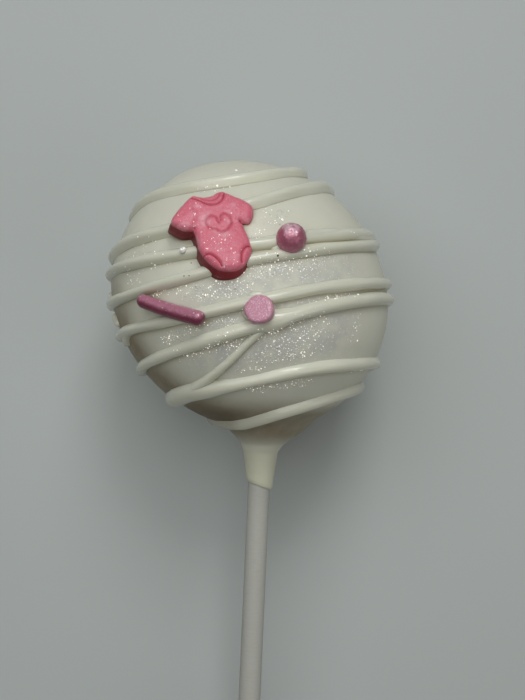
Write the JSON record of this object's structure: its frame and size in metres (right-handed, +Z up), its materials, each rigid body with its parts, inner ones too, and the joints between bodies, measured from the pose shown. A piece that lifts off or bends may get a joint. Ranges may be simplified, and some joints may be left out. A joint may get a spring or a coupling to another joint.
{
  "type": "cake pop",
  "caption": "Ball of cake on a paper stick, dipped in white candy coating and piped with drizzle, with pink sprinkles and a pink candy bodysuit; lies on its back.",
  "frame": {"origin": "middle of the small flat spot that the ball rests on", "axes": "+Z up, away from the surface; +Y along the pop towards the crown of the ball, with the stick running towards -Y; +X to the right of the decorated side"},
  "size_m": [0.0448, 0.1716, 0.045],
  "materials": {
    "coating": "smooth white candy coating with a soft gloss and fine silver glitter",
    "candy": "moulded pink candy with a soft sheen",
    "paper": "rolled white paper, matt"
  },
  "bodies": {
    "root": {"coated_ball": "coating", "candy_bodysuit": "candy", "paper_stick": "paper"}
  },
  "joints": []
}
